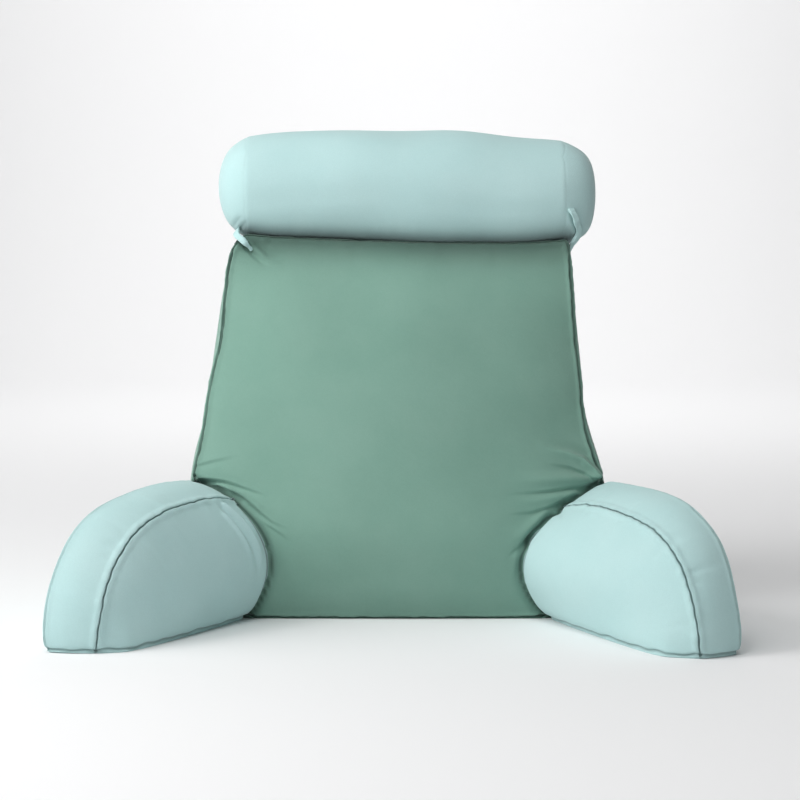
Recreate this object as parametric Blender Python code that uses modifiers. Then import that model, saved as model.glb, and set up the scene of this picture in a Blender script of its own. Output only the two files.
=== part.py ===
"""Reading pillow with arms: a filled wedge back, two boxed arms, and a neck roll tied on top.

The pillow stands on its own base. X runs across it, its front faces -Y and +Z is up. The back
stands upright behind and its front panel leans back; the arms are sewn on at its lower corners
and splay outwards; the roll lies on the top edge and is held by a short tab at each end.
Lengths are in metres. A table's row is one section, one arm, one tab or one fold, and its columns
are named above it.
"""

import math

import bmesh
import bpy
import numpy as np
from mathutils import Matrix, Vector

GAP = 0.0003  # between two pieces that touch
EDGE = 1e-5  # how near 0 or 1 a share is at the end of its range

# Back cushion
BACK_HEIGHT = 0.4895  # of the front seam, at mid width
TOP_SLOPE = -0.021  # the top edge drops a little towards +X
TOP_CORNER_RISE = 0.006  # the top corners reach up to the roll's thinner ends
BASE_Y = -0.003  # the front panel's bottom seam
LEAN = math.tan(math.radians(13))  # the front panel's recline
REAR_Y = 0.245  # the upright rear panel
FRONT_CROWN = 0.060  # how far each panel swells past its seams
REAR_CROWN = 0.018
SIDE_BULGE = 0.007
# the front panel's side seams: height, left x, right x
SIDE_SEAMS = (
    (0.000, -0.270, 0.270),
    (0.060, -0.276, 0.277),
    (0.150, -0.276, 0.278),
    (0.180, -0.272, 0.273),
    (0.200, -0.267, 0.265),
    (0.230, -0.259, 0.252),
    (0.280, -0.250, 0.244),
    (0.350, -0.240, 0.240),
    (0.413, -0.233, 0.235),
    (0.464, -0.227, 0.231),
    (0.478, -0.218, 0.228),
    (0.490, -0.202, 0.225),
)
# how full the front panel is: share of its height, share of the crown
FRONT_FILL = (
    (0, 0), (0.05, 0.30), (0.11, 0.58), (0.18, 0.80), (0.26, 0.95),
    (0.34, 1), (0.55, 0.85), (0.8, 0.45), (0.94, 0.16), (1, 0),
)

# Arms, one row each: side, its sign, the inner seam's start x, y, turn outwards in degrees, length
# and height of the inner side panel, how full that panel is, width of the boxing strip, how much
# further forward the outer panel ends, and the power that squares the D outline's front end
ARMS = (
    ("left", -1, 0.200, 0.036, 28.9, 0.345, 0.165, 0.81, 0.066, 0.025, 5.4),
    ("right", 1, 0.205, 0.036, 25.1, 0.374, 0.158, 0.97, 0.065, -0.006, 6.2),
)
ARM_ROOT = 0.050  # how far the raw arm reaches back past its seam, before it is fitted
ROOT_DROP = 0.036  # how far the inner seam dips towards the raw root
TOP_POWER = 1.85  # squares the D outline's top
ROOT_POWER = 2.8  # rounds the inner panel's upper half at its root
SEAM_RIDGE = 0.002  # how far the turned seams of an arm stand out
OUTER_RISE = (0.016, 0.022)  # how much higher the left and the right arm's outer panels are
OUTER_ROOT_DROP = 0.010  # how far the outer seam dips towards the raw root
OUTER_CROWN = 0.020  # how far the outer panel swells, and the boxing strip
BOXING_BULGE = 0.006
# an arm's inner side panel: share of its length, how far it swells at the base, and at mid height
INNER_SECTIONS = (
    (0.00, 0.014, 0.040),
    (0.12, 0.022, 0.060),
    (0.22, 0.030, 0.066),
    (0.36, 0.036, 0.063),
    (0.52, 0.039, 0.056),
    (0.68, 0.041, 0.047),
    (0.82, 0.041, 0.034),
    (0.92, 0.036, 0.019),
    (1.00, 0.000, 0.000),
)
MID_HEIGHT = 0.45  # where that panel swells most, as a share of its height

# Neck roll
ROLL_Y = 0.165  # of its axis
ROLL_HEIGHT = 0.5636  # of its axis, at mid width
ROLL_TILT = -0.022  # rise per metre of X
ROLL_MIDDLE = 0.0096  # X of its middle
ROLL_SEAM = 0.2120  # from its middle to each end seam
# each end's dome: side sign, depth, the power that squares its outline
ROLL_ENDS = ((-1, 0.0435, 2.0), (1, 0.0445, 2.9))
SMOOTHING = 1.026  # a smoothed section of 16 sides lies this much inside its cage
# the roll's sections: distance from its middle as a share of ROLL_SEAM, radius, axis drop
ROLL_SECTIONS = (
    (-1, 0.0675, 0.0060),
    (-0.8, 0.0720, 0.0040),
    (-0.4, 0.0755, 0.0010),
    (0, 0.0766, 0.0000),
    (0.4, 0.0762, 0.0010),
    (0.8, 0.0735, 0.0040),
    (1, 0.0700, 0.0050),
)

# Tabs that tie the roll to the back's top corners: side, the way its width lies, and the points
# along its middle
TAB_WIDTH = 0.012
TAB_THICKNESS = 0.003
TABS = (
    ("left", (0.7, 0.0, 0.7), ((-0.2185, 0.134, 0.519), (-0.2145, 0.110, 0.508), (-0.2080, 0.099, 0.4985),
                               (-0.2000, 0.0955, 0.488), (-0.192, 0.106, 0.476))),
    ("right", (-0.45, 0.8, 0.4), ((0.237, 0.106, 0.545), (0.246, 0.118, 0.523), (0.2440, 0.138, 0.503),
                                  (0.2325, 0.142, 0.487), (0.219, 0.140, 0.470))),
)

# Folds drawn in the front panel where the arms pull at it: start x, z, end x, z, half width,
# height (below 0 is a trough)
FOLD_START = 0.3  # a fold's height at its very start, as a share of its full height
FOLD_RISE = 0.175  # the share of its length over which it reaches that height
FOLDS = (
    (-0.268, 0.190, -0.160, 0.172, 0.010, 0.0100),
    (-0.262, 0.173, -0.160, 0.153, 0.009, -0.0095),
    (-0.225, 0.163, -0.120, 0.138, 0.010, 0.0080),
    (-0.185, 0.150, -0.135, 0.085, 0.013, -0.0080),
    (0.268, 0.190, 0.170, 0.228, 0.010, 0.0110),
    (0.268, 0.180, 0.140, 0.203, 0.009, -0.0100),
    (0.262, 0.172, 0.125, 0.180, 0.010, 0.0100),
    (0.235, 0.162, 0.125, 0.157, 0.009, -0.0085),
    (0.190, 0.150, 0.135, 0.085, 0.013, -0.0080),
)


def clear_scene():
    for obj in list(bpy.data.objects):
        bpy.data.objects.remove(obj, do_unlink=True)


def new_collection(name):
    made = bpy.data.collections.new(name)
    bpy.context.scene.collection.children.link(made)
    return made


def cloth(name, colour):
    """A matt washed-cotton finish."""
    made = bpy.data.materials.new(name)
    made.use_nodes = True
    shader = made.node_tree.nodes["Principled BSDF"]
    shader.inputs["Base Color"].default_value = (*colour, 1)
    shader.inputs["Roughness"].default_value = 0.85
    shader.inputs["Metallic"].default_value = 0
    made.diffuse_color = (*colour, 1)
    return made


def from_table(rows, at, column=1):
    """Reads a table's column at a value of its first column, straight between rows."""
    return float(np.interp(at, [row[0] for row in rows], [row[column] for row in rows]))


def mix(a, b, share):
    return a + (b - a) * share


def hump(share, power=2.0):
    """0 at both ends of 0..1 and 1 in the middle; a higher power makes a flatter top."""
    return 1 - abs(2 * share - 1) ** power


def grid_block(cuts):
    """A unit block whose faces are grids, cut at the given places along each axis."""
    bm = bmesh.new()
    bmesh.ops.create_cube(bm, size=1, matrix=Matrix.Translation((0.5, 0.5, 0.5)))
    for axis, places in enumerate(cuts):
        normal = Vector((axis == 0, axis == 1, axis == 2))
        for place in places:
            everything = bm.verts[:] + bm.edges[:] + bm.faces[:]
            bmesh.ops.bisect_plane(bm, geom=everything, plane_co=normal * place, plane_no=normal)
    return bm


def at_end(share):
    return share < EDGE or share > 1 - EDGE


def soft_piece(name, parts, finish, cuts, shape, on_seam, seam_crease, levels=1):
    """A filled piece: a grid block given its shape as a cage, smoothed, with tighter seam edges."""
    bm = grid_block(cuts)
    crease = bm.edges.layers.float.new("crease_edge")
    for edge in bm.edges:
        if all(on_seam(*vert.co) for vert in edge.verts):
            edge[crease] = seam_crease
    for vert in bm.verts:
        vert.co = shape(*vert.co)
    bmesh.ops.recalc_face_normals(bm, faces=bm.faces[:])
    mesh = bpy.data.meshes.new(name)
    bm.to_mesh(mesh)
    bm.free()
    mesh.shade_smooth()
    mesh.materials.append(finish)
    obj = bpy.data.objects.new(name, mesh)
    parts.objects.link(obj)
    if levels:
        smooth = obj.modifiers.new("soft", "SUBSURF")
        smooth.levels = smooth.render_levels = levels
    obj.modifiers.new("flat_faces", "TRIANGULATE")
    return obj


def clearance_of(obj, cutters):
    """A hidden copy of a piece, GAP larger all round, that cuts its neighbours to its shape."""
    bpy.context.view_layer.update()
    evaluated = obj.evaluated_get(bpy.context.evaluated_depsgraph_get())
    mesh = bpy.data.meshes.new_from_object(evaluated)
    normals = [vert.normal.copy() for vert in mesh.vertices]
    for vert, normal in zip(mesh.vertices, normals):
        vert.co += normal * GAP
    copy = bpy.data.objects.new(obj.name + "_clearance", mesh)
    copy.hide_render = True
    copy.display_type = "WIRE"
    cutters.objects.link(copy)
    return copy


def seat(obj, cutter):
    """Fits a piece against its neighbour, so that both keep their form and nearly touch."""
    cut = obj.modifiers.new("seat", "BOOLEAN")
    cut.operation = "DIFFERENCE"
    cut.object = cutter


def fold_height(x, z):
    """How far the folds lift or sink the front panel at a place on it."""
    total = 0.0
    here = Vector((x, z))
    for x0, z0, x1, z1, half_width, height in FOLDS:
        start = Vector((x0, z0))
        run = Vector((x1, z1)) - start
        along = min(max((here - start).dot(run) / run.length_squared, 0), 1)
        away = (here - start - run * along).length
        rise = min(1.0, mix(FOLD_START, 1, along / FOLD_RISE))
        total += height * rise * math.sqrt(1 - along) * math.exp(-((away / half_width) ** 2))
    return total


def back_shape(u, v, w):
    """The back: u across, v up, w from the front panel to the rear one."""
    left = from_table(SIDE_SEAMS, v * BACK_HEIGHT, 1)
    right = from_table(SIDE_SEAMS, v * BACK_HEIGHT, 2)
    bulge = SIDE_BULGE * hump(w) * hump(v, 6)
    x = mix(left - bulge, right + bulge, u)
    z = v * (BACK_HEIGHT + TOP_SLOPE * x + TOP_CORNER_RISE * (1 - hump(u, 4)))
    front = BASE_Y + LEAN * z - FRONT_CROWN * from_table(FRONT_FILL, v) * hump(u, 2.2)
    if not at_end(v):
        front -= fold_height(x, z)
    rear = REAR_Y + REAR_CROWN * hump(u, 3) * hump(v, 3)
    return x, mix(front, rear, w), z


def back_cushion(parts, finish):
    across = (0.03, 0.075, 0.12, 0.165, 0.215, 0.28, 0.38, 0.5, 0.62, 0.72, 0.785, 0.835, 0.88, 0.925, 0.97)
    up = (0.05, 0.12, 0.18, 0.23, 0.265, 0.295, 0.32, 0.345, 0.37, 0.395, 0.42, 0.46, 0.53, 0.64, 0.78, 0.9, 0.96)
    through = (0.25, 0.75)

    def on_seam(u, v, w):
        return at_end(w) and (at_end(u) or at_end(v))

    return soft_piece("back_cushion", parts, finish, (across, up, through), back_shape, on_seam, 0.8)


def arm_shape(row):
    """An arm: u from its root to its front end, v up its side panels, w from inner to outer."""
    _, side, seam_x, seam_y, turn, length, height, fullness, strip, outer_lead, front_power = row
    angle = math.radians(turn)
    forward = Vector((side * math.sin(angle), -math.cos(angle), 0))
    outward = Vector((side * math.cos(angle), math.sin(angle), 0))
    start = Vector((side * seam_x, seam_y, 0))
    reach = length + ARM_ROOT

    def shape(u, v, w):
        # the D outline of the side panels, a quarter of a rounded square
        along = u * (1 - v**TOP_POWER / 2) ** (1 / front_power)
        up = v * (1 - u**front_power / 2) ** (1 / TOP_POWER)
        base = from_table(INNER_SECTIONS, u, 1) * fullness
        middle = from_table(INNER_SECTIONS, u, 2) * fullness
        if v < MID_HEIGHT:
            inner = mix(base, middle, math.sin(math.pi / 2 * v / MID_HEIGHT))
        else:
            round_top = mix(ROOT_POWER, 2, min(1, 2 * u))
            inner = middle * (1 - ((v - MID_HEIGHT) / (1 - MID_HEIGHT)) ** round_top)
        outer = OUTER_CROWN * hump(u, 3) * (1 - v**3)
        across = mix(-inner, strip + outer, w)
        steep = Vector((along ** (front_power - 1) * front_power / reach, up * TOP_POWER / height)).normalized()
        along = along * (reach + outer_lead * w) - ARM_ROOT
        near_root = max(0, 1 - 2 * u) ** 2
        up *= height + OUTER_RISE[side > 0] * w - mix(ROOT_DROP, OUTER_ROOT_DROP, w) * near_root
        if u > 1 - EDGE or v > 1 - EDGE:
            # the boxing strip stands out between its two seams, and the seams make a ridge
            lift = SEAM_RIDGE if at_end(w) else BOXING_BULGE * hump(w) * (1 - near_root)
            along += lift * steep.x
            up += lift * steep.y
            if at_end(w):
                across += math.copysign(SEAM_RIDGE, w - 0.5)
        return start + forward * along + outward * across + Vector((0, 0, up))

    return shape


def arm(row, parts, finish, back_clearance):
    lengthwise = (0.1, 0.2, 0.32, 0.46, 0.6, 0.74, 0.86, 0.945, 0.985)
    up = (0.1, 0.26, 0.45, 0.62, 0.78, 0.9, 0.97)
    through = (0.07, 0.3, 0.7, 0.93)

    def on_seam(u, v, w):
        return at_end(w) and v > EDGE and (at_end(v) or u > 1 - EDGE)

    obj = soft_piece("arm_" + row[0], parts, finish, (lengthwise, up, through), arm_shape(row), on_seam, 0.9)
    seat(obj, back_clearance)
    return obj


def roll_shape(u, v, w):
    """The roll: u along it, v and w across, a round section with domed ends."""
    side = 2 * u - 1
    a = 2 * v - 1
    b = 2 * w - 1
    radius = from_table(ROLL_SECTIONS, side, 1) * SMOOTHING
    ring_y = a * math.sqrt(1 - b * b / 2)
    ring_z = b * math.sqrt(1 - a * a / 2)
    dome = 0
    if at_end(u):
        _, depth, power = ROLL_ENDS[u > 0.5]
        dome = depth * max(0, 1 - math.hypot(ring_y, ring_z) ** power) ** (1 / power)
    x = ROLL_MIDDLE + side * ROLL_SEAM + math.copysign(dome, side)
    z = ROLL_HEIGHT + ROLL_TILT * x - from_table(ROLL_SECTIONS, side, 2) + ring_z * radius
    return x, ROLL_Y + ring_y * radius, z


def neck_roll(parts, finish, back_clearance):
    lengthwise = (0.06, 0.2, 0.35, 0.5, 0.65, 0.8, 0.94)
    section = (0.1, 0.28, 0.5, 0.72, 0.9)

    def on_seam(u, v, w):
        return at_end(u) and (at_end(v) or at_end(w))

    obj = soft_piece("neck_roll", parts, finish, (lengthwise, section, section), roll_shape, on_seam, 0.2)
    seat(obj, back_clearance)
    return obj


def roll_tab(name, width_way, points, parts, finish, cutters):
    """A flat strap along its points, with both ends let into what they are sewn to."""
    middle = [Vector(point) for point in points]
    wide = Vector(width_way).normalized()

    def place(share):
        """A point on a smooth curve through the middle points, and its direction."""
        spot = share * (len(middle) - 1)
        i = min(int(spot), len(middle) - 2)
        t = spot - i
        before = middle[max(i - 1, 0)]
        after = middle[min(i + 2, len(middle) - 1)]
        m0 = (middle[i + 1] - before) / 2
        m1 = (after - middle[i]) / 2
        h00, h10 = 2 * t**3 - 3 * t**2 + 1, t**3 - 2 * t**2 + t
        h01, h11 = 3 * t**2 - 2 * t**3, t**3 - t**2
        return h00 * middle[i] + h10 * m0 + h01 * middle[i + 1] + h11 * m1

    def shape(u, v, w):
        step = 0.01
        heading = (place(min(u + step, 1)) - place(max(u - step, 0))).normalized()
        flat = (wide - heading * wide.dot(heading)).normalized()
        thick = heading.cross(flat)
        return place(u) + flat * TAB_WIDTH * (v - 0.5) + thick * TAB_THICKNESS * (w - 0.5)

    steps = [i / 18 for i in range(1, 18)]
    obj = soft_piece("roll_tab_" + name, parts, finish, (steps, (0.25, 0.75), ()), shape,
                     lambda u, v, w: False, 0, levels=0)
    for cutter in cutters:
        seat(obj, cutter)
    return obj


def centre_on_base(objects):
    """Moves the whole pillow so that the middle of its outline stands on the origin."""
    bpy.context.view_layer.update()
    graph = bpy.context.evaluated_depsgraph_get()
    corners = []
    for obj in objects:
        evaluated = obj.evaluated_get(graph)
        corners += [evaluated.matrix_world @ Vector(corner) for corner in evaluated.bound_box]
    low = [min(corner[axis] for corner in corners) for axis in range(3)]
    high = [max(corner[axis] for corner in corners) for axis in range(3)]
    whole = bpy.data.objects.new("reading_pillow", None)
    bpy.context.scene.collection.objects.link(whole)
    for obj in bpy.data.objects:
        if obj is not whole:
            obj.parent = whole
    whole.location = (-(low[0] + high[0]) / 2, -(low[1] + high[1]) / 2, -low[2])
    bpy.context.view_layer.update()


def main():
    clear_scene()
    parts = new_collection("reading_pillow")
    cutters = new_collection("cutters")
    green = cloth("green_cloth", (0.235, 0.400, 0.325))
    aqua = cloth("aqua_cloth", (0.500, 0.700, 0.690))

    back = back_cushion(parts, green)
    back_clearance = clearance_of(back, cutters)
    arms = [arm(row, parts, aqua, back_clearance) for row in ARMS]
    roll = neck_roll(parts, aqua, back_clearance)
    roll_clearance = clearance_of(roll, cutters)
    tabs = [roll_tab(*row, parts, aqua, (back_clearance, roll_clearance)) for row in TABS]
    centre_on_base([back, roll] + arms + tabs)


main()
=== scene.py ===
import math
from collections import namedtuple

import bmesh
import bpy
import numpy as np
from mathutils import Matrix, Vector, kdtree
from mathutils.bvhtree import BVHTree


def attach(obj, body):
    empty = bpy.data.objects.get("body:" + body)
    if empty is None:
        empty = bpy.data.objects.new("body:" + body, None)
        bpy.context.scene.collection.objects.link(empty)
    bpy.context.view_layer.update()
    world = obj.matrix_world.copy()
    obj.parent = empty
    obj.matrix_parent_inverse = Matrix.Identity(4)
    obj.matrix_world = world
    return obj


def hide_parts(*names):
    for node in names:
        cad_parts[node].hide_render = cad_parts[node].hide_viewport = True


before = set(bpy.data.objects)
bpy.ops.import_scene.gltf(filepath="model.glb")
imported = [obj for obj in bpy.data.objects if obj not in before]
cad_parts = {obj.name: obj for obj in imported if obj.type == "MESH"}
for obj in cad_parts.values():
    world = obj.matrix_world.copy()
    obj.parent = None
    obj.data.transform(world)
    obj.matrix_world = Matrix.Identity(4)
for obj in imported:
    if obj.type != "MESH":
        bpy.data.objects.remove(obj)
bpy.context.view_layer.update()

# Reading pillow with arms: covers for its filled pieces, with their seams, puckers and folds.
# Lengths are in metres. The shapes are written with the middle of the front panel's base near
# the origin, X across, -Y to the front, and FRAME_SHIFT takes them into the model's frame.
FRAME_SHIFT = Vector((0.00820, 0.02024, 0.0))
EDGE = 1e-4  # how near 0 or 1 a share is at the end of its range

# Back cushion
BACK_HEIGHT = 0.4895
TOP_SLOPE = -0.021
TOP_CORNER_RISE = 0.006
BASE_Y = -0.003
LEAN = math.tan(math.radians(13))
REAR_Y = 0.245
FRONT_CROWN = 0.060
REAR_CROWN = 0.018
SIDE_BULGE = 0.007
# the front panel's side seams: height, left x, right x
SIDE_SEAMS = (
    (0.000, -0.270, 0.270),
    (0.060, -0.276, 0.277),
    (0.150, -0.276, 0.278),
    (0.180, -0.272, 0.273),
    (0.200, -0.267, 0.265),
    (0.230, -0.259, 0.252),
    (0.280, -0.250, 0.244),
    (0.350, -0.240, 0.240),
    (0.413, -0.233, 0.235),
    (0.464, -0.227, 0.231),
    (0.478, -0.218, 0.228),
    (0.490, -0.202, 0.225),
)
# how full the front panel is: share of its height, share of the crown
FRONT_FILL = (
    (0, 0), (0.04, 0.32), (0.09, 0.60), (0.15, 0.80), (0.22, 0.94), (0.31, 1),
    (0.55, 0.97), (0.75, 0.78), (0.88, 0.50), (0.95, 0.22), (1, 0),
)
UPPER_ROUNDING = 0.85  # the power that rounds its sides above the arms
UPPER_START = (0.40, 0.62)  # the shares of its height between which that rounding sets in
BACK_SWELL = (0.0011, 0.11)  # height and length of the filling's uneven swells
# parts of the front panel that have a finer mesh, for their folds: x from, to, z from, to
FINE_AREAS = (
    (-math.inf, -0.138, 0.098, 0.222),
    (0.138, math.inf, 0.060, 0.232),
    (-math.inf, -0.145, 0.445, math.inf),
)

# Arms: the side and its sign, the inner seam's start, the turn outwards in degrees, the length
# and height of the inner side panel, how full that panel is, the width of the boxing strip, how
# much further forward and higher the outer panel ends, the power that squares the D outline's
# front end, and the first seed of its uneven fields
Arm = namedtuple(
    "Arm",
    "side sign seam_x seam_y turn length height fullness strip outer_lead outer_rise front_power seed",
)
ARMS = (
    Arm("left", -1, 0.200, 0.036, 28.9, 0.345, 0.165, 0.81, 0.066, 0.025, 0.016, 5.4, 20),
    Arm("right", 1, 0.205, 0.036, 25.1, 0.374, 0.158, 0.97, 0.065, -0.006, 0.022, 6.2, 30),
)
ARM_ROOT = 0.050  # how far an arm reaches into the back
ROOT_DROP = 0.036  # how much lower its inner and its outer panel are there
OUTER_ROOT_DROP = 0.010
TOP_POWER = 1.85  # the power that rounds the D outline's top
ROOT_POWER = 2.8  # the power that rounds the inner panel's upper half at the root
OUTER_CROWN = 0.020
BOXING_BULGE = 0.006
ARM_SWELL = (0.0005, 0.1)
# an arm's inner side panel: share of its length, how far it swells at the base, and at mid height
INNER_SECTIONS = (
    (0.00, 0.014, 0.040),
    (0.12, 0.022, 0.060),
    (0.22, 0.030, 0.066),
    (0.36, 0.036, 0.063),
    (0.52, 0.039, 0.056),
    (0.68, 0.041, 0.047),
    (0.82, 0.041, 0.034),
    (0.92, 0.036, 0.019),
    (1.00, 0.000, 0.000),
)
MID_HEIGHT = 0.45
BASE_SHARE = 0.85  # how much of the base is the grid's lower side; the rest is its front end
FOOT_INSET = 0.006  # how far an arm's sides draw in at the floor, and the height of that
FOOT_HEIGHT = 0.016

# Neck roll
ROLL_Y = 0.159
ROLL_HEIGHT = 0.5636
ROLL_TILT = -0.022
ROLL_MIDDLE = 0.0096
ROLL_SEAM = 0.2120  # how far the end seams are from its middle
ROLL_DOMES = ((0.0435, 2.0), (0.0445, 2.9))  # depth of the left and the right end, and its power
ROLL_SAG = 0.016  # twice how far its lower front sags over the back's top edge
ROLL_SWELL = (0.0012, 0.13)
SMOOTHING = 1.026  # makes up for what subdivision takes from its radius
# the roll's sections: distance from its middle as a share of ROLL_SEAM, radius, axis drop
ROLL_SECTIONS = (
    (-1, 0.0675, 0.0060),
    (-0.8, 0.0720, 0.0040),
    (-0.4, 0.0755, 0.0010),
    (0, 0.0766, 0.0000),
    (0.4, 0.0762, 0.0010),
    (0.8, 0.0735, 0.0040),
    (1, 0.0700, 0.0050),
)

# Tabs: the width at the roll and at the back, the way the width lies, points along the middle
Tab = namedtuple("Tab", "side start_width end_width width_way points")
TAB_THICKNESS = 0.0042
TAB_STEPS = 18
TAB_CRINKLE = (0.0004, 0.016)
TABS = (
    Tab("left", 0.011, 0.005, (0.7, 0.0, 0.7), (
        (-0.2130, 0.138, 0.5100),
        (-0.2165, 0.1120, 0.5010),
        (-0.2095, 0.1030, 0.4945),
        (-0.2020, 0.1010, 0.4875),
        (-0.1955, 0.1080, 0.4800),
    )),
    Tab("right", 0.010, 0.007, (0.73, 0.40, 0.11), (
        (0.2260, 0.1050, 0.5400),
        (0.2330, 0.0925, 0.5300),
        (0.2395, 0.1010, 0.5150),
        (0.2420, 0.1150, 0.5010),
        (0.2340, 0.1200, 0.4870),
        (0.2260, 0.1290, 0.4740),
    )),
)

# Turned seams: a sunk stitch line between two lips, with puckers across it and wider pulls
GROOVE_DEPTH = 0.0046
GROOVE_HALF = 0.0013
LIP_HEIGHT = 0.0015
LIP_AT = 0.0040
LIP_HALF = 0.0042
LIP_UNEVEN = 0.4  # how much the lips' height varies, as a share
LEAN_REACH = 0.0016  # how far the lips close over the groove
LEAN_AT = 0.0018
LEAN_HALF = 0.0016
STITCH_WANDER = 0.0005  # how far the stitch line strays to either side
WANDER_STEPS = (0.019, 0.043, 0.083)
PANEL_STITCH = 0.0020  # how far in from the edge the stitches of the back's panels lie
PANEL_STITCH_END = (0.93, 0.99)  # the shares of the height between which that dies out
OUTER_STITCH = 0.0020  # how far onto its boxing an arm's outer stitches lie
PUCKER_HEIGHT = 0.0009
PUCKER_REACH = 0.008
PUCKER_START = (0.0005, 0.004)  # the distances from the seam between which puckers set in
PUCKER_STEPS = (0.011, 0.017, 0.029)  # wavelengths along the seam
PULL_HEIGHT = 0.0010
PULL_REACH = 0.022
PULL_STEPS = (0.038, 0.061, 0.097)
PULL_SLANT = 0.5  # how far puckers and pulls lean away from square to the seam
SIDES_APART = 0.002  # how far the puckers of both sides are out of step
SEAM_END = 0.007  # the length over which a seam's relief dies out at its ends
BACK_PUCKERS = 0.6  # puckers and strength, as shares of the above
OUTER_PUCKERS = 0.4
OUTER_STRENGTH = 0.6
ROLL_STRENGTH = 0.05

# Base seams of the arms: a line pressed into their sides just above the floor
BASE_LINE = 0.0045
BASE_WANDER = 0.0011
BASE_DEPTH = 0.0022
BASE_HALF = 0.0017

# How far the cloth sinks where two pieces meet, and how far from the meeting line that starts
MEETING_DEPTH = 0.0048
MEETING_REACH = 0.010

# The painted shade in seams, at meeting lines and between the back and the roll: how far it reaches
SEAM_SHADE_HALF = 0.0024
MEETING_SHADE_HALF = 0.0026
BACK_SHADE_REACH = 0.034
ROLL_SHADE_REACH = 0.018
BASE_SHADE = 0.7  # how dark the painted shade of a base seam is, as a share of the others
CREASE_SHADE = 0.36  # the cloth's brightness where its painted shade is fullest, at the bottom of a seam

# Folds of the front panel, where the arms and the tab pull at it: points x, z along each from its
# strong end, half width there and at the other end, height, and height of a step
STEP_EDGE = 0.0012  # how steep a step is
PANEL_FOLDS = (
    # left: the deep valley from the armpit, and the folds around it
    (((-0.280, 0.174), (-0.264, 0.178), (-0.247, 0.180), (-0.228, 0.1785), (-0.208, 0.173),
      (-0.188, 0.167), (-0.165, 0.160)), 0.007, 0.010, -0.0046, 0.0062),
    (((-0.262, 0.198), (-0.241, 0.204), (-0.205, 0.213)), 0.006, 0.011, 0.0, 0.0016),
    (((-0.240, 0.1745), (-0.225, 0.171), (-0.208, 0.165), (-0.188, 0.159)),
     0.0035, 0.005, 0.0036, 0.0),
    (((-0.252, 0.173), (-0.231, 0.167), (-0.214, 0.160)), 0.003, 0.004, -0.0038, 0.0020),
    (((-0.214, 0.163), (-0.204, 0.158), (-0.194, 0.151), (-0.182, 0.141), (-0.168, 0.127)),
     0.006, 0.008, -0.0040, 0.0030),
    (((-0.192, 0.150), (-0.180, 0.140), (-0.165, 0.129), (-0.140, 0.119)),
     0.006, 0.010, -0.0010, 0.0028),
    (((-0.170, 0.124), (-0.150, 0.112), (-0.138, 0.104)), 0.006, 0.009, 0.0, 0.0018),
    # right: a thin ridge from the armpit up into the panel, and broad folds below it
    (((0.265, 0.182), (0.257, 0.192), (0.242, 0.2055), (0.225, 0.213), (0.207, 0.2185),
      (0.180, 0.226)), 0.0034, 0.0055, 0.0064, 0.0010),
    (((0.262, 0.197), (0.250, 0.213), (0.233, 0.2215), (0.213, 0.2260), (0.190, 0.230)),
     0.0050, 0.0070, -0.0034, 0.0),
    (((0.265, 0.176), (0.246, 0.189), (0.227, 0.197), (0.190, 0.203)),
     0.007, 0.011, -0.0044, 0.0036),
    (((0.266, 0.179), (0.240, 0.181), (0.200, 0.182), (0.135, 0.182)), 0.006, 0.010, 0.0054, 0.0),
    (((0.260, 0.173), (0.226, 0.1705), (0.193, 0.167), (0.135, 0.165)),
     0.007, 0.012, -0.0042, 0.0040),
    (((0.236, 0.164), (0.207, 0.160), (0.187, 0.157), (0.140, 0.155)), 0.005, 0.008, 0.0040, 0.0),
    (((0.222, 0.156), (0.197, 0.147), (0.175, 0.141), (0.140, 0.139)),
     0.008, 0.011, -0.0030, 0.0038),
    (((0.196, 0.142), (0.180, 0.127), (0.160, 0.110), (0.138, 0.096)), 0.006, 0.010, 0.0036, 0.0),
    (((0.184, 0.116), (0.168, 0.105), (0.155, 0.095), (0.140, 0.082)),
     0.006, 0.008, -0.0030, 0.0030),
    (((0.170, 0.097), (0.157, 0.080), (0.150, 0.062)), 0.006, 0.008, 0.0026, 0.0),
    # the top left corner, where the tab pulls
    (((-0.211, 0.490), (-0.206, 0.487), (-0.197, 0.4780), (-0.181, 0.4635), (-0.166, 0.457)),
     0.0032, 0.0042, -0.0054, 0.0),
    (((-0.206, 0.492), (-0.199, 0.489), (-0.189, 0.4805), (-0.172, 0.4670), (-0.150, 0.462)),
     0.0038, 0.0052, 0.0042, 0.0),
    (((-0.188, 0.485), (-0.172, 0.474), (-0.136, 0.470)), 0.005, 0.008, -0.0024, 0.0),
)

# Creases of the arms' inner panels beside the back, as for the front panel: points s, z, where s
# runs forward along the arm from the start of its inner seam
ARM_CREASES = {
    "left": (
        (((0.066, 0.156), (0.056, 0.146), (0.047, 0.130), (0.040, 0.112), (0.037, 0.085)),
         0.0028, 0.0042, -0.0050, 0.0),
        (((0.072, 0.153), (0.063, 0.140), (0.055, 0.122), (0.049, 0.100), (0.046, 0.066)),
         0.0028, 0.0042, 0.0056, 0.0),
        (((0.080, 0.150), (0.071, 0.132), (0.064, 0.112), (0.058, 0.088), (0.056, 0.055)),
         0.0030, 0.0046, -0.0052, 0.0),
        (((0.088, 0.142), (0.078, 0.118), (0.071, 0.096), (0.067, 0.065)),
         0.0034, 0.0048, 0.0042, 0.0),
    ),
    "right": (
        (((0.016, 0.1385), (0.030, 0.1400), (0.045, 0.1410), (0.075, 0.1400)),
         0.0030, 0.0045, -0.0030, 0.0),
        (((0.012, 0.132), (0.030, 0.122), (0.042, 0.110)), 0.004, 0.005, -0.0020, 0.0),
    ),
}

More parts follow.
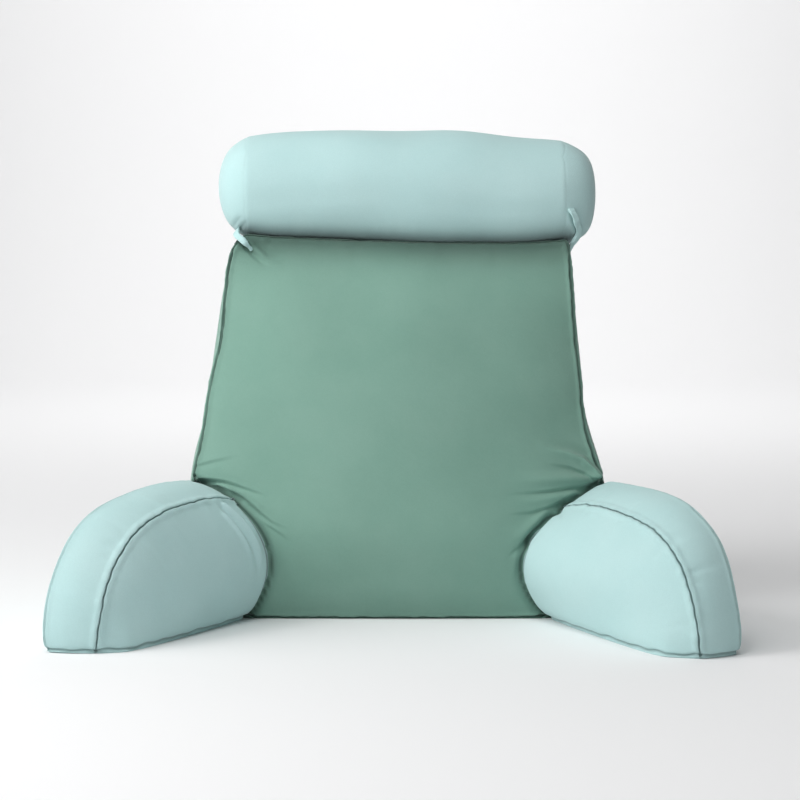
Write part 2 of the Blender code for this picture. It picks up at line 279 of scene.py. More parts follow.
# Creases across the arms' boxing at their fronts: points on it, as a share of its width, and z,
# both in metres for a strip of STRIP_SCALE
STRIP_SCALE = 0.065
BOXING_CREASES = {
    "left": (
        (((0.004, 0.128), (0.014, 0.131), (0.026, 0.130)), 0.0030, 0.0040, -0.0018, 0.0),
        (((0.004, 0.114), (0.013, 0.118), (0.022, 0.117)), 0.0030, 0.0040, -0.0014, 0.0),
    ),
    "right": (
        (((0.006, 0.102), (0.022, 0.106), (0.040, 0.109), (0.058, 0.108)),
         0.0032, 0.0045, -0.0018, 0.0009),
        (((0.004, 0.088), (0.014, 0.090), (0.026, 0.089)), 0.0030, 0.0040, -0.0014, 0.0),
    ),
}

# Folds of the roll's front, as for the front panel: long shallow ones, and pinches at the tabs
ROLL_FOLDS = (
    (((-0.205, 0.545), (-0.100, 0.553), (0.050, 0.556), (0.170, 0.553)),
     0.012, 0.016, -0.0009, 0.0),
    (((0.205, 0.533), (0.100, 0.539), (-0.060, 0.541)), 0.010, 0.014, -0.0009, 0.0),
    (((-0.213, 0.505), (-0.208, 0.512), (-0.199, 0.520)), 0.0035, 0.0045, -0.0024, 0.0),
    (((-0.221, 0.511), (-0.214, 0.519), (-0.205, 0.527)), 0.0035, 0.0045, -0.0020, 0.0),
    (((0.237, 0.501), (0.231, 0.514), (0.224, 0.534)), 0.0040, 0.0050, 0.0026, 0.0),
    (((0.244, 0.503), (0.239, 0.516), (0.233, 0.532)), 0.0040, 0.0050, -0.0030, 0.0),
)


def from_table(rows, at, column=1):
    """Reads a table's column at a value of its first column, straight between rows."""
    return float(np.interp(at, [row[0] for row in rows], [row[column] for row in rows]))


def mix(a, b, share):
    return a + (b - a) * share


def hump(share, power=2.0):
    """0 at both ends of 0..1 and 1 in the middle; a higher power makes a flatter top."""
    return 1 - abs(2 * share - 1) ** power


def bell(away, half):
    return np.exp(-((away / half) ** 2))


def smooth_step(low, high, at):
    share = np.clip((at - low) / (high - low), 0, 1)
    return share * share * (3 - 2 * share)


def at_end(share):
    return (share < EDGE) | (share > 1 - EDGE)


# ---------------------------------------------------------------- covers as fine meshes


class Cover:
    """A fine mesh over one filled piece. place holds each point's shares along its cage's axes."""

    def __init__(self, obj):
        self.obj = obj
        self.load()

    def load(self):
        obj = self.obj
        self.points = self.read("co")
        self.normals = self.read("normal")
        place = np.empty(len(obj.data.vertices) * 3, np.float32)
        obj.data.attributes["place"].data.foreach_get("vector", place)
        self.place = place.reshape(-1, 3).astype(float)
        self.shade = np.zeros(len(self.points))

    def read(self, field):
        values = np.empty(len(self.obj.data.vertices) * 3, np.float32)
        self.obj.data.vertices.foreach_get(field, values)
        return values.reshape(-1, 3).astype(float)

    def write(self):
        """Gives the mesh its new points, none of them below the floor."""
        self.points[:, 2] = np.maximum(self.points[:, 2], 0)
        self.obj.data.vertices.foreach_set("co", self.points.astype(np.float32).ravel())
        self.obj.data.update()
        self.normals = self.read("normal")

    def unshifted(self):
        """The points as the shapes are written, without FRAME_SHIFT."""
        return self.points - np.array(FRAME_SHIFT)

    def paint_shade(self, share):
        """Notes painted shade at each point, for the material: seams, creases and meeting lines."""
        self.shade = np.maximum(self.shade, share)
        # the crease attribute holds painted shade, by which the cloth material darkens its colour
        layers = self.obj.data.attributes
        layer = layers.get("crease") or layers.new("crease", "FLOAT", "POINT")
        layer.data.foreach_set("value", self.shade.astype(np.float32))

    def push(self, distance):
        """Moves each point along its normal."""
        self.points += self.normals * np.asarray(distance)[:, None]
        self.write()


def add_object(name, data):
    obj = bpy.data.objects.new(name, data)
    bpy.context.scene.collection.objects.link(obj)
    return obj


def grid_block(cuts):
    """A unit block whose faces are grids, cut at the given places along each axis."""
    bm = bmesh.new()
    bmesh.ops.create_cube(bm, size=1, matrix=Matrix.Translation((0.5, 0.5, 0.5)))
    for axis, places in enumerate(cuts):
        normal = Vector((axis == 0, axis == 1, axis == 2))
        for place in places:
            everything = bm.verts[:] + bm.edges[:] + bm.faces[:]
            bmesh.ops.bisect_plane(bm, geom=everything, plane_co=normal * place, plane_no=normal)
    return bm


def even_cuts(near, cells):
    """Cuts beside both ends of a side, near apart from them, and even ones between."""
    middle = [mix(near[-1], 1 - near[-1], i / cells) for i in range(1, cells)]
    return (*near, *middle, *(1 - place for place in reversed(near)))


def subdivide(obj, levels):
    """Subdivides the object's mesh for good, and shades it smooth."""
    modifier = obj.modifiers.new("soft", "SUBSURF")
    modifier.levels = modifier.render_levels = levels
    bpy.context.view_layer.update()
    graph = bpy.context.evaluated_depsgraph_get()
    mesh = bpy.data.meshes.new_from_object(
        obj.evaluated_get(graph), preserve_all_data_layers=True, depsgraph=graph
    )
    obj.modifiers.clear()
    cage = obj.data
    obj.data = mesh
    bpy.data.meshes.remove(cage)
    mesh.shade_smooth()


def cover(name, cuts, shape, levels, on_seam=None, sharpness=0.0):
    """The grid block shaped by shape(u, v, w) as a cage, and subdivided, with sharper seams."""
    bm = grid_block(cuts)
    crease = bm.edges.layers.float.new("crease_edge")
    place = bm.verts.layers.float_vector.new("place")
    for edge in bm.edges:
        if on_seam and all(on_seam(*vert.co) for vert in edge.verts):
            edge[crease] = sharpness
    for vert in bm.verts:
        vert[place] = vert.co
        vert.co = Vector(shape(*vert.co)) + FRAME_SHIFT
    if bm.calc_volume(signed=True) < 0:
        bmesh.ops.reverse_faces(bm, faces=bm.faces[:])
    mesh = bpy.data.meshes.new(name)
    bm.to_mesh(mesh)
    bm.free()
    obj = add_object(name, mesh)
    subdivide(obj, levels)
    return Cover(obj)


def refine(piece, inside, cuts=2, rounds=2):
    """Splits the faces all of whose points are inside, and smooths the new points."""
    bm = bmesh.new()
    bm.from_mesh(piece.obj.data)
    bm.verts.ensure_lookup_table()
    faces = [face for face in bm.faces if all(inside[vert.index] for vert in face.verts)]
    edges = list({edge for face in faces for edge in face.edges})
    made = bmesh.ops.subdivide_edges(bm, edges=edges, cuts=cuts, use_grid_fill=True)
    verts = list({item for item in made["geom_inner"] if isinstance(item, bmesh.types.BMVert)})
    for _ in range(rounds):
        bmesh.ops.smooth_vert(
            bm, verts=verts, factor=0.5, use_axis_x=True, use_axis_y=True, use_axis_z=True
        )
    bm.to_mesh(piece.obj.data)
    bm.free()
    piece.load()


# ---------------------------------------------------------------- relief


def waves(at, lengths, seed):
    """A smooth uneven ripple along a line, about -1 to 1."""
    rng = np.random.default_rng(seed)
    total = np.zeros_like(at)
    for length in lengths:
        total += rng.uniform(0.6, 1.0) * np.sin(2 * np.pi * (at / length + rng.uniform()))
    return total / math.sqrt(len(lengths))


def swells(piece, size, seed, count=9):
    """A smooth uneven field of the given height, with humps of about the given length."""
    height, length = size
    rng = np.random.default_rng(seed)
    total = np.zeros(len(piece.points))
    for _ in range(count):
        way = rng.normal(size=3)
        way *= rng.uniform(0.6, 1.3) / (np.linalg.norm(way) * length)
        total += np.sin(2 * np.pi * (piece.points @ way + rng.uniform()))
    return height * (total / math.sqrt(count / 2))


def along_line(points, step=0.0006):
    """A polyline's points again, evenly and closely spaced, with the distance run at each."""
    lengths = np.linalg.norm(np.diff(points, axis=0), axis=1)
    run = np.concatenate([[0], np.cumsum(lengths)])
    at = np.arange(0, run[-1], step)
    return np.stack([np.interp(at, run, points[:, axis]) for axis in range(3)], axis=1), at


def seam_distance(piece, on_line, order, closed):
    """For each point the nearest one of a seam, its distance and how far along the seam it is."""
    chosen = np.nonzero(on_line)[0]
    line = piece.points[chosen[np.argsort(order[chosen])]]
    if closed:
        line = np.vstack([line, line[:1]])
    line, run = along_line(line)
    tree = kdtree.KDTree(len(line))
    for index, point in enumerate(line):
        tree.insert(point, index)
    tree.balance()
    found = [tree.find(point) for point in piece.points]
    nearest = [hit[1] for hit in found]
    return line[nearest], np.array([hit[2] for hit in found]), run[nearest]


def sew(piece, on_line, order, on_panel, seed, strength=1.0, puckers=1.0, offset=0.0, closed=False):
    """A turned seam. on_panel is true on its panel's side, and offset moves the stitches onto it."""
    nearest, away, run = seam_distance(piece, on_line, order, closed)
    toward = (nearest - piece.points) / np.maximum(away, 1e-5)[:, None]
    toward[on_line] = 0
    side = np.where(on_panel, 1.0, -1.0)
    from_stitch = np.abs(away * side - offset - STITCH_WANDER * waves(run, WANDER_STEPS, seed))
    lip = 1 + LIP_UNEVEN * puckers * waves(run, PUCKER_STEPS[1:], seed + 1)
    diagonal = piece.normals + toward
    diagonal /= np.linalg.norm(diagonal, axis=1)[:, None]
    move = -(GROOVE_DEPTH * bell(from_stitch, GROOVE_HALF))[:, None] * diagonal
    move += (LEAN_REACH * bell(away - LEAN_AT, LEAN_HALF))[:, None] * toward
    skew = run + PULL_SLANT * away * waves(run, PULL_STEPS, seed + 2)
    gathers = np.abs(waves(skew + SIDES_APART * side, PUCKER_STEPS, seed + 3)) - 0.5
    ripple = PUCKER_HEIGHT * gathers * np.exp(-away / PUCKER_REACH)
    ripple += PULL_HEIGHT * waves(skew, PULL_STEPS, seed + 4) * np.exp(-away / PULL_REACH)
    ripple *= puckers * smooth_step(*PUCKER_START, away)
    move += (LIP_HEIGHT * lip * bell(away - LIP_AT, LIP_HALF) + ripple)[:, None] * piece.normals
    if not closed:
        strength = strength * smooth_step(0, SEAM_END, np.minimum(run, run.max() - run))[:, None]
    piece.points += strength * move
    piece.write()
    # painted shade along the stitch line, darkest at the bottom of the groove
    piece.paint_shade(np.mean(strength) * bell(from_stitch, SEAM_SHADE_HALF))


def route_distance(here, points):
    """For each place its distance from a route, that with a sign, above it, and the share run."""
    route = np.array(points)
    steps = np.diff(route, axis=0)
    lengths = np.linalg.norm(steps, axis=1)
    best = np.full(len(here), np.inf)
    signed = np.zeros(len(here))
    share = np.zeros(len(here))
    run = 0.0
    for start, step, length in zip(route[:-1], steps, lengths):
        along = np.clip((here - start) @ step / length**2, 0, 1)
        gap = here - start - along[:, None] * step
        away = np.linalg.norm(gap, axis=1)
        above = np.array([-step[1], step[0]]) * math.copysign(1, step[0])
        nearer = away < best
        best = np.where(nearer, away, best)
        signed = np.where(nearer, gap @ above / length, signed)
        share = np.where(nearer, (run + along * length) / lengths.sum(), share)
        run += length
    return best, signed, share


def fold_field(across, up, folds):
    """How far the folds lift or sink points at (across, up).

    A row is: points along the fold, half width at its start and at its end, height in its middle,
    and height of a step, which stands that much proud above the line and sunk below it.
    """
    total = np.zeros(len(across))
    here = np.stack([across, up], axis=1)
    for points, start_half, end_half, height, step_height in folds:
        away, signed, share = route_distance(here, points)
        half = mix(start_half, end_half, share)
        step = step_height * np.tanh(signed / STEP_EDGE) * np.exp(-away / half)
        dying_out = (1 - share**2) ** 1.5 * smooth_step(-0.25, 0.15, share)
        total += dying_out * (height * bell(away, half) + step)
    return total


def surface_tree(piece):
    faces = [tuple(face.vertices) for face in piece.obj.data.polygons]
    return BVHTree.FromPolygons([tuple(point) for point in piece.points], faces)


def surface_distance(piece, tree):
    return np.array([tree.find_nearest(point)[3] for point in piece.points])


def sink_at_meeting(piece, others):
    """Sinks a cover along the lines where its surface runs into other covers, and paints shade there.
    """
    for tree in others:
        away = surface_distance(piece, tree)
        piece.push(-MEETING_DEPTH * (1 - smooth_step(0, MEETING_REACH, away)))
        # painted shade along the meeting line
        piece.paint_shade(bell(away, MEETING_SHADE_HALF))


def shade_beside(piece, tree, reach):
    """Darkens a cover near another one, where little light gets in between them."""
    piece.paint_shade(bell(surface_distance(piece, tree), reach))


# ---------------------------------------------------------------- back cushion


def back_shape(u, v, w):
    left = from_table(SIDE_SEAMS, v * BACK_HEIGHT, 1)
    right = from_table(SIDE_SEAMS, v * BACK_HEIGHT, 2)
    bulge = SIDE_BULGE * hump(w) * hump(v, 6)
    x = mix(left - bulge, right + bulge, u)
    z = v * (BACK_HEIGHT + TOP_SLOPE * x + TOP_CORNER_RISE * (1 - hump(u, 4)))
    rounding = mix(1, UPPER_ROUNDING, float(smooth_step(*UPPER_START, v)))
    front = BASE_Y + LEAN * z - FRONT_CROWN * from_table(FRONT_FILL, v) * hump(u) ** rounding
    rear = REAR_Y + REAR_CROWN * hump(u, 3) * hump(v, 3)
    return x, mix(front, rear, w), z


def back_cover():
    beside_seam = (0.012, 0.03, 0.06)
    cells = (even_cuts(beside_seam, 12), even_cuts(beside_seam, 11), even_cuts((0.04, 0.1), 2))

    def on_seam(u, v, w):
        return at_end(w) and (at_end(u) or at_end(v))

    piece = cover("back_cover", cells, back_shape, 3, on_seam, 0.85)
    x, _, z = piece.unshifted().T
    fine = [(x > x0) & (x < x1) & (z > z0) & (z < z1) for x0, x1, z0, z1 in FINE_AREAS]
    refine(piece, (piece.place[:, 2] < EDGE) & np.any(fine, axis=0))
    u, v, w = piece.place.T
    x, _, z = piece.unshifted().T
    piece.push(swells(piece, BACK_SWELL, 1) * smooth_step(0, 0.12, v))
    piece.push(np.where(w < EDGE, fold_field(x, z, PANEL_FOLDS), 0))
    order = np.select([v < EDGE, u > 1 - EDGE, v > 1 - EDGE], [u, 1 + v, 3 - u], 4 - v)
    inset = PANEL_STITCH * (1 - smooth_step(*PANEL_STITCH_END, v))
    for panel, seed in ((w < EDGE, 11), (w > 1 - EDGE, 12)):
        rim = (at_end(u) | at_end(v)) & panel
        sew(piece, rim, order, panel, seed, puckers=BACK_PUCKERS, offset=inset, closed=True)
    return piece


# ---------------------------------------------------------------- arms


def arm_frame(arm):
    """The start of an arm's inner seam, and the ways forward and outward from it."""
    angle = math.radians(arm.turn)
    forward = Vector((arm.sign * math.sin(angle), -math.cos(angle), 0))
    outward = Vector((arm.sign * math.cos(angle), math.sin(angle), 0))
    return Vector((arm.sign * arm.seam_x, arm.seam_y, 0)), forward, outward


def d_outline(front_power, reach, height):
    """The D outline from the root's top to the front's foot: run as a share, and unit along, up."""
    share = np.linspace(0, 1, 500)
    along = np.concatenate([share, (1 - share**TOP_POWER) ** (1 / front_power)])
    up = np.concatenate([(1 - share**front_power) ** (1 / TOP_POWER), share])
    turn = np.argsort(along - up, kind="stable")
    along, up = along[turn], up[turn]
    run = np.concatenate([[0], np.cumsum(np.hypot(np.diff(along) * reach, np.diff(up) * height))])
    return run / run[-1], along, up


def square_place(along, up, front_power):
    """Where a point of the D lies in the unit square that the D is bent from: forward and up.

    With s and r the powers of those two, the D's own powers are s * (1 - r / 2) and
    r * (1 - s / 2), and its outline is where they add up to 1.
    """
    x, y = along**front_power, up**TOP_POWER
    b = 1 - (x - y) / 2
    r = b - math.sqrt(max(0, b * b - 2 * y))
    return max(0, r + x - y) ** (1 / front_power), r ** (1 / TOP_POWER)


def inner_swell(share, rise, fullness):
    """How far an arm's inner panel swells towards the seat."""
    base = from_table(INNER_SECTIONS, share, 1) * fullness
    middle = from_table(INNER_SECTIONS, share, 2) * fullness
    if rise < MID_HEIGHT:
        return mix(base, middle, math.sin(math.pi / 2 * rise / MID_HEIGHT))
    round_top = mix(ROOT_POWER, 2, min(1, 2 * share))
    return middle * (1 - min(1, (rise - MID_HEIGHT) / (1 - MID_HEIGHT)) ** round_top)


def arm_shape(arm):
    start, forward, outward = arm_frame(arm)
    reach = arm.length + ARM_ROOT
    power = arm.front_power
    run, outline_along, outline_up = d_outline(power, reach, arm.height)

    def shape(u, v, w):
        along = mix(u * BASE_SHARE, float(np.interp(u, run, outline_along)), v)
        up = v * float(np.interp(u, run, outline_up))
        share, rise = square_place(along, up, power)
        outer = OUTER_CROWN * hump(share, 3) * (1 - rise**3)
        across = mix(-inner_swell(share, rise, arm.fullness), arm.strip + outer, w)
        slope = (along ** (power - 1) * power / reach, up * TOP_POWER / arm.height)
        steep = Vector(slope).normalized()
        along = along * (reach + arm.outer_lead * w) - ARM_ROOT
        near_root = max(0, 1 - 2 * share) ** 2
        up *= arm.height + arm.outer_rise * w - mix(ROOT_DROP, OUTER_ROOT_DROP, w) * near_root
        if v > 1 - EDGE:
            lift = BOXING_BULGE * hump(w) * (1 - near_root)
            along += lift * steep.x
            up += lift * steep.y
        foot = FOOT_INSET * (1 - float(smooth_step(0, FOOT_HEIGHT, up)))
        across += foot * (1 - 2 * w)
        along -= foot * v**4
        return start + forward * along + outward * across + Vector((0, 0, up))

    return shape


def press_base_line(piece, sides, around, seed):
    """The base seam of an arm, pressed into its sides just above the floor, with painted shade along
    it.
    """
    line = BASE_LINE + BASE_WANDER * waves(around, PULL_STEPS, seed)
    near = np.where(sides, bell(piece.points[:, 2] - line, BASE_HALF), 0)
    piece.push(-BASE_DEPTH * near)
    # painted shade in the pressed base seam
    piece.paint_shade(BASE_SHADE * near)


def arm_cover(arm):
    cells = (
        even_cuts((0.008, 0.02), 21),
        even_cuts((0.035, 0.085, 0.16), 6),
        even_cuts((0.08, 0.2), 3),
    )

    def on_seam(u, v, w):
        return at_end(v) and at_end(w)

    piece = cover("arm_cover_" + arm.side, cells, arm_shape(arm), 3, on_seam, 0.9)
    u, v, w = piece.place.T
    start, forward, outward = (np.array(way) for way in arm_frame(arm))
    local = piece.unshifted() - start
    height = local[:, 2]
    piece.push(swells(piece, ARM_SWELL, arm.seed) * smooth_step(0, 0.15, v))
    creases = fold_field(local @ forward, height, ARM_CREASES[arm.side])
    piece.push(np.where(w < EDGE, creases, 0))
    crossing = fold_field(w * STRIP_SCALE, height, BOXING_CREASES[arm.side])
    boxing = v > 1 - EDGE
    piece.push(np.where(boxing & (u > 0.5), crossing * hump(w, 8), 0))
    inner, outer = w < EDGE, w > 1 - EDGE
    sew(piece, boxing & inner, u, inner, arm.seed + 1)
    sew(
        piece, boxing & outer, u, outer, arm.seed + 2,
        strength=OUTER_STRENGTH, puckers=OUTER_PUCKERS, offset=-OUTER_STITCH,
    )
    sides = (v > EDGE) & (u < 1 - EDGE)
    press_base_line(piece, sides, local @ (forward + outward), arm.seed + 3)
    return piece


# ---------------------------------------------------------------- neck roll


def roll_shape(u, v, w):
    side = 2 * u - 1
    a = 2 * v - 1
    b = 2 * w - 1
    radius = from_table(ROLL_SECTIONS, side, 1) * SMOOTHING
    ring_y = a * math.sqrt(1 - b * b / 2)
    ring_z = b * math.sqrt(1 - a * a / 2)
    dome = 0
    if at_end(u):
        depth, power = ROLL_DOMES[u > 0.5]
        dome = depth * max(0, 1 - math.hypot(ring_y, ring_z) ** power) ** (1 / power)
    x = ROLL_MIDDLE + side * ROLL_SEAM + math.copysign(dome, side)
    sag = ROLL_SAG * max(0, -ring_y) * max(0, -ring_z) * (1 - side**6)
    drop = from_table(ROLL_SECTIONS, side, 2)
    z = ROLL_HEIGHT + ROLL_TILT * x - drop + ring_z * radius - sag
    return x, ROLL_Y + ring_y * radius, z


def roll_cover():
    lengthwise = (0.02, 0.06, 0.14, 0.24, 0.35, 0.5, 0.65, 0.76, 0.86, 0.94, 0.98)
    section = (0.1, 0.28, 0.5, 0.72, 0.9)

    def on_seam(u, v, w):
        return at_end(u) and (at_end(v) or at_end(w))

    piece = cover("roll_cover", (lengthwise, section, section), roll_shape, 4, on_seam, 0.25)
    u, v, w = piece.place.T
    piece.push(swells(piece, ROLL_SWELL, 31))
    x, y, z = piece.unshifted().T
    piece.push(np.where(y < ROLL_Y, fold_field(x, z, ROLL_FOLDS), 0))
    order = np.arctan2(w - 0.5, v - 0.5)
    for end, seed in ((u < EDGE, 41), (u > 1 - EDGE, 44)):
        rim = (at_end(v) | at_end(w)) & end
        sew(piece, rim, order, end, seed, strength=ROLL_STRENGTH, closed=True)
    return piece


# ---------------------------------------------------------------- tabs


def smooth_route(points, share):
    """A point on a smooth curve through the given points, at a share of its length."""
    spot = share * (len(points) - 1)
    i = min(int(spot), len(points) - 2)
    t = spot - i
    before = points[max(i - 1, 0)]
    after = points[min(i + 2, len(points) - 1)]
    m0 = (points[i + 1] - before) / 2
    m1 = (after - points[i]) / 2
    h00, h10 = 2 * t**3 - 3 * t**2 + 1, t**3 - 2 * t**2 + t
    h01, h11 = 3 * t**2 - 2 * t**3, t**3 - t**2
    return h00 * points[i] + h10 * m0 + h01 * points[i + 1] + h11 * m1


def tab_strap(tab):
    middle = [Vector(point) for point in tab.points]
    wide = Vector(tab.width_way).normalized()

    def shape(u, v, w):
        step = 0.01
        ahead = smooth_route(middle, min(u + step, 1))
        heading = (ahead - smooth_route(middle, max(u - step, 0))).normalized()
        flat = (wide - heading * wide.dot(heading)).normalized()
        thick = heading.cross(flat)
        across = flat * mix(tab.start_width, tab.end_width, u) * (v - 0.5)
        return smooth_route(middle, u) + across + thick * TAB_THICKNESS * (w - 0.5)

    steps = [i / TAB_STEPS for i in range(1, TAB_STEPS)]
    piece = cover("tab_" + tab.side, (steps, (0.25, 0.5, 0.75), ()), shape, 2)
    piece.push(swells(piece, TAB_CRINKLE, 51))
    return piece


# ---------------------------------------------------------------- materials

THREAD_PITCH = 0.0007
DYE_SCALE = 9  # noise scales: dye patches, flecks and crinkle
FLECK_SCALE = 900
CRINKLE_SCALE = 140
DYE_BLEND = (0.35, 0.65)  # where in the noise one shade of the dye passes into the other
FLECK_TINT = (0.93, 1.07)
CRINKLE_BUMP = (0.35, 0.0009)  # strength and height of a bump
THREAD_BUMP = (0.25, 0.00008)
CLOTH_SURFACE = {
    "Roughness": 0.9,
    "Sheen Weight": 0.22,
    "Sheen Roughness": 0.45,
    "Specular IOR Level": 0.25,
}
PAPER_SURFACE = {"Base Color": (0.90, 0.90, 0.905, 1), "Roughness": 0.95}


def set_inputs(tree, made, inputs):
    """Sets a node's inputs, each to a value or to another node's output."""
    for name, value in inputs.items():
        if isinstance(value, bpy.types.NodeSocket):
            tree.links.new(value, made.inputs[name])
        else:
            made.inputs[name].default_value = value


def node(tree, kind, inputs, **settings):
    """A new node with the given settings and inputs."""
    made = tree.nodes.new(kind)
    for name, value in settings.items():
        setattr(made, name, value)
    set_inputs(tree, made, inputs)
    return made


def maths(tree, operation, *values):
    inputs = dict(enumerate(values))
    return node(tree, "ShaderNodeMath", inputs, operation=operation).outputs[0]


def noise(tree, where, scale, detail, roughness=0.5):
    inputs = {"Vector": where, "Scale": scale, "Detail": detail, "Roughness": roughness}
    return node(tree, "ShaderNodeTexNoise", inputs).outputs["Fac"]


def map_range(tree, value, low, high):
    inputs = {"Value": value, "To Min": low, "To Max": high}
    return node(tree, "ShaderNodeMapRange", inputs).outputs["Result"]


def multiply(tree, colour, factor):
    inputs = {"Fac": 1, "Color1": colour, "Color2": factor}
    return node(tree, "ShaderNodeMixRGB", inputs, blend_type="MULTIPLY").outputs["Color"]


def bump(tree, height, strength, distance, **below):
    inputs = {"Height": height, "Strength": strength, "Distance": distance, **below}
    return node(tree, "ShaderNodeBump", inputs).outputs["Normal"]


def uneven_dye(tree, where, colour, other):
    """Two close shades of the dye, in soft patches."""
    ramp = node(tree, "ShaderNodeValToRGB", {"Fac": noise(tree, where, DYE_SCALE, 4, 0.6)})
    for element, position, shade in zip(ramp.color_ramp.elements, DYE_BLEND, (colour, other)):
        element.position = position
        element.color = (*shade, 1)
    return ramp.outputs["Color"]


def weave(tree, where):
    """Threads: two sets of fine lines that cross, on whichever plane the surface faces."""
    parts = node(tree, "ShaderNodeSeparateXYZ", {"Vector": where})
    lines = []
    for axis in "XYZ":
        turn = maths(tree, "MULTIPLY", parts.outputs[axis], 2 * math.pi / THREAD_PITCH)
        lines.append(maths(tree, "SINE", turn))
    xy, yz, zx = (maths(tree, "MULTIPLY", lines[i], lines[(i + 1) % 3]) for i in range(3))
    return maths(tree, "ADD", maths(tree, "ADD", xy, yz), zx)


def surface_material(name, surface):
    """A plain material with the given values for its surface."""
    made = bpy.data.materials.new(name)
    made.use_nodes = True
    set_inputs(made.node_tree, made.node_tree.nodes["Principled BSDF"], surface)
    return made


def cloth_material(name, colour, other, seed):
    """Washed plain-weave cotton: uneven dye, fine crinkle, thread bump, a soft sheen, and painted
    shade.
    """
    made = surface_material(name, CLOTH_SURFACE)
    tree = made.node_tree
    place = node(tree, "ShaderNodeTexCoord", {}).outputs["Object"]
    moved = {"Vector": place, "Location": (seed, seed * 0.7, seed * 0.3)}
    where = node(tree, "ShaderNodeMapping", moved).outputs["Vector"]
    flecks = map_range(tree, noise(tree, where, FLECK_SCALE, 2), *FLECK_TINT)
    dyed = multiply(tree, uneven_dye(tree, where, colour, other), flecks)
    # painted shade: the crease attribute darkens the cloth's colour in seams, creases and where pieces
    # meet
    depth = node(tree, "ShaderNodeAttribute", {}, attribute_name="crease").outputs["Fac"]
    painted_shade = map_range(tree, depth, 1, CREASE_SHADE)
    crinkle = noise(tree, where, CRINKLE_SCALE, 5, 0.6)
    crinkled = bump(tree, crinkle, *CRINKLE_BUMP)
    threads = bump(tree, weave(tree, where), *THREAD_BUMP, Normal=crinkled)
    surface = {"Base Color": multiply(tree, dyed, painted_shade), "Normal": threads}
    set_inputs(tree, tree.nodes["Principled BSDF"], surface)
    return made


GREEN = cloth_material("green_cotton", (0.192, 0.350, 0.284), (0.212, 0.370, 0.304), 3.1)
AQUA = cloth_material("aqua_cotton", (0.452, 0.662, 0.660), (0.478, 0.678, 0.676), 7.7)


def dress(piece, material, nodes):
    """Gives a cover its cloth, and says what it rides on and what it replaces."""
    obj = piece.obj
    obj.data.materials.clear()
    obj.data.materials.append(material)
    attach(obj, "root")
    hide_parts(*nodes)


# ---------------------------------------------------------------- studio

CAMERA_AT = Vector((0.0027, -3.6, 0.61))
CAMERA_PITCH = math.radians(5.115)
VIEW_WIDTH = 1.04  # how much is seen across, at the camera's distance from the front panel's base
SENSOR_WIDTH = 36

# the backdrop: a floor from FLOOR_FRONT to FLOOR_REAR, which curves up into a wall
BACKDROP_HALF_WIDTH = 8.0
FLOOR_FRONT = -8.0
FLOOR_REAR = 3.7
CURVE_RADIUS = 1.2
CURVE_STEPS = 16
WALL_TOP = 5.0

WORLD_STRENGTH = 0.06
LIGHTS_AIM = Vector((0.0, 0.0, 0.3))
LIGHTS_AWAY = 2.8
LIGHTS_SIZE = 1.2
# name, degrees from the front (left is below 0), degrees up, power
LIGHTS = (
    ("left", -65, 35, 35),
    ("left_low", -65, 12, 11),
    ("far_left", -90, 20, 14),
    ("key", -22, 40, 11),
    ("top", 0, 60, 18),
    ("top_left", -45, 60, 11),
    ("fill", 50, 12, 6),
)
BACKDROP_LIGHTS_SIZE = 2.5
# name, place, what it is aimed at, power
BACKDROP_LIGHTS = (
    ("wall", (0.0, 2.9, 2.8), (0.0, 4.7, 0.5), 67),
    ("floor", (0.6, 1.7, 3.0), (0.6, 1.3, 0.0), 13),
)


def build_camera():
    data = bpy.data.cameras.new("camera")
    data.sensor_width = SENSOR_WIDTH
    data.lens = data.sensor_width * -CAMERA_AT.y / VIEW_WIDTH
    obj = add_object("camera", data)
    obj.location = CAMERA_AT + FRAME_SHIFT
    obj.rotation_euler = (math.pi / 2 - CAMERA_PITCH, 0, 0)
    bpy.context.scene.camera = obj


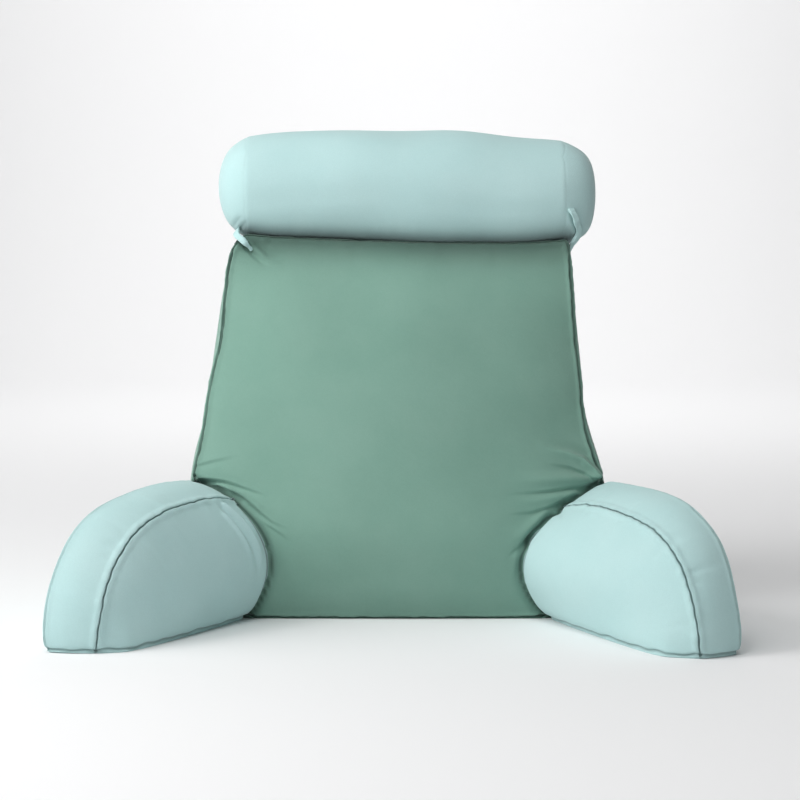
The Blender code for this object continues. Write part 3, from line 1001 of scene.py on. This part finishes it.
def build_backdrop():
    """A pale floor that curves up into a wall behind the pillow."""
    section = [(FLOOR_FRONT, 0.0), (FLOOR_REAR, 0.0)]
    for i in range(1, CURVE_STEPS + 1):
        angle = math.pi / 2 * i / CURVE_STEPS
        y = FLOOR_REAR + CURVE_RADIUS * math.sin(angle)
        section.append((y, CURVE_RADIUS * (1 - math.cos(angle))))
    section.append((FLOOR_REAR + CURVE_RADIUS, WALL_TOP))
    bm = bmesh.new()
    ends = (-BACKDROP_HALF_WIDTH, BACKDROP_HALF_WIDTH)
    rows = [[bm.verts.new((x, y, z)) for x in ends] for y, z in section]
    for low, high in zip(rows, rows[1:]):
        bm.faces.new((low[0], low[1], high[1], high[0]))
    mesh = bpy.data.meshes.new("backdrop")
    bm.to_mesh(mesh)
    bm.free()
    mesh.shade_smooth()
    mesh.materials.append(surface_material("pale_paper", PAPER_SURFACE))
    add_object("backdrop", mesh)


def area_light(name, at, aim, size, power):
    data = bpy.data.lights.new(name, "AREA")
    data.energy = power
    data.size = size
    obj = add_object(name, data)
    obj.location = at
    obj.rotation_euler = (Vector(aim) - Vector(at)).to_track_quat("-Z", "Y").to_euler()


def build_lights():
    world = bpy.data.worlds.new("studio")
    bpy.context.scene.world = world
    world.use_nodes = True
    background = world.node_tree.nodes["Background"]
    background.inputs["Color"].default_value = (1, 1, 1, 1)
    background.inputs["Strength"].default_value = WORLD_STRENGTH
    for name, turn, lift, power in LIGHTS:
        turn, lift = math.radians(turn), math.radians(lift)
        level = math.cos(lift)
        away = Vector((math.sin(turn) * level, -math.cos(turn) * level, math.sin(lift)))
        area_light(name, LIGHTS_AIM + away * LIGHTS_AWAY, LIGHTS_AIM, LIGHTS_SIZE, power)
    for name, at, aim, power in BACKDROP_LIGHTS:
        area_light(name, at, aim, BACKDROP_LIGHTS_SIZE, power)


# ---------------------------------------------------------------- the scene

build_camera()
build_backdrop()
build_lights()
bpy.context.scene.view_settings.view_transform = "Standard"

back = back_cover()
arms = [arm_cover(arm) for arm in ARMS]
back_tree = surface_tree(back)
sink_at_meeting(back, [surface_tree(piece) for piece in arms])
for piece in arms:
    sink_at_meeting(piece, [back_tree])
roll = roll_cover()
# painted shade on the back under the roll and on the roll's underside
shade_beside(back, surface_tree(roll), BACK_SHADE_REACH)
shade_beside(roll, back_tree, ROLL_SHADE_REACH)
tabs = [tab_strap(tab) for tab in TABS]

dress(back, GREEN, ["back_cushion"])
for arm, piece in zip(ARMS, arms):
    dress(piece, AQUA, ["arm_" + arm.side])
dress(roll, AQUA, ["neck_roll"])
for tab, piece in zip(TABS, tabs):
    dress(piece, AQUA, ["roll_tab_" + tab.side])
